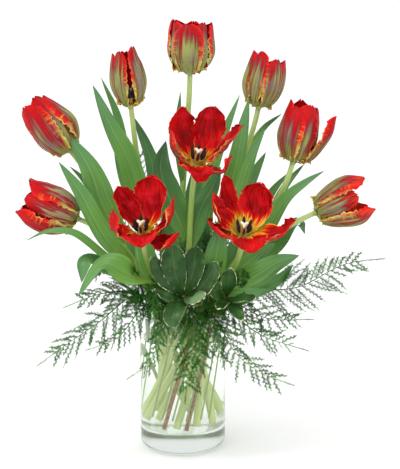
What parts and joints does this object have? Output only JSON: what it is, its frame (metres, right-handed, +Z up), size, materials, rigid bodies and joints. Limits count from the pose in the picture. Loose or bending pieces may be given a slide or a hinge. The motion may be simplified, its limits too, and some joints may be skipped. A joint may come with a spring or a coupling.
{
  "type": "parrot tulip arrangement in a glass vase",
  "caption": "Parrot tulips with ruffled red petals, long leaves, plumosa fern and pittosporum, standing in water in a clear glass cylinder vase.",
  "frame": {"origin": "middle of the vase's underside, on the surface that it stands on", "axes": "+Z up along the vase's axis; -Y is the front of the arrangement, where the open blooms look; +X is to the right as seen from the front"},
  "size_m": [0.4146, 0.2435, 0.5015],
  "materials": {
    "glass": "clear, smooth, thick-walled glass",
    "water": "clear still water",
    "petal": "silky, red with yellow and green flames",
    "heart": "matt pale pistil with dark purple anthers",
    "stem": "smooth, slightly waxy green stem and leaves",
    "pittosporum": "leathery grey-green with cream margins",
    "fern": "fine dark green needles"
  },
  "bodies": {
    "root": {"vase": "glass", "water": "water", "tulip_01_heart": "heart", "tulip_01_bloom": "petal", "tulip_01_stem": "stem", "tulip_02_heart": "heart", "tulip_02_bloom": "petal", "tulip_02_stem": "stem", "tulip_03_heart": "heart", "tulip_03_bloom": "petal", "tulip_03_stem": "stem", "tulip_04_heart": "heart", "tulip_04_bloom": "petal", "tulip_04_stem": "stem", "tulip_05_heart": "heart", "tulip_05_bloom": "petal", "tulip_05_stem": "stem", "tulip_06_heart": "heart", "tulip_06_bloom": "petal", "tulip_06_stem": "stem", "tulip_07_heart": "heart", "tulip_07_bloom": "petal", "tulip_07_stem": "stem", "tulip_08_heart": "heart", "tulip_08_bloom": "petal", "tulip_08_stem": "stem", "tulip_09_heart": "heart", "tulip_09_bloom": "petal", "tulip_09_stem": "stem", "tulip_10_heart": "heart", "tulip_10_bloom": "petal", "tulip_10_stem": "stem", "pittosporum_01": "pittosporum", "pittosporum_02": "pittosporum", "fern_01": "fern", "fern_02": "fern", "fern_03": "fern", "fern_04": "fern", "fern_05": "fern", "fern_06": "fern", "fern_07": "fern", "fern_08": "fern", "fern_09": "fern", "fern_10": "fern", "fern_11": "fern", "fern_12": "fern", "fern_13": "fern"}
  },
  "joints": []
}
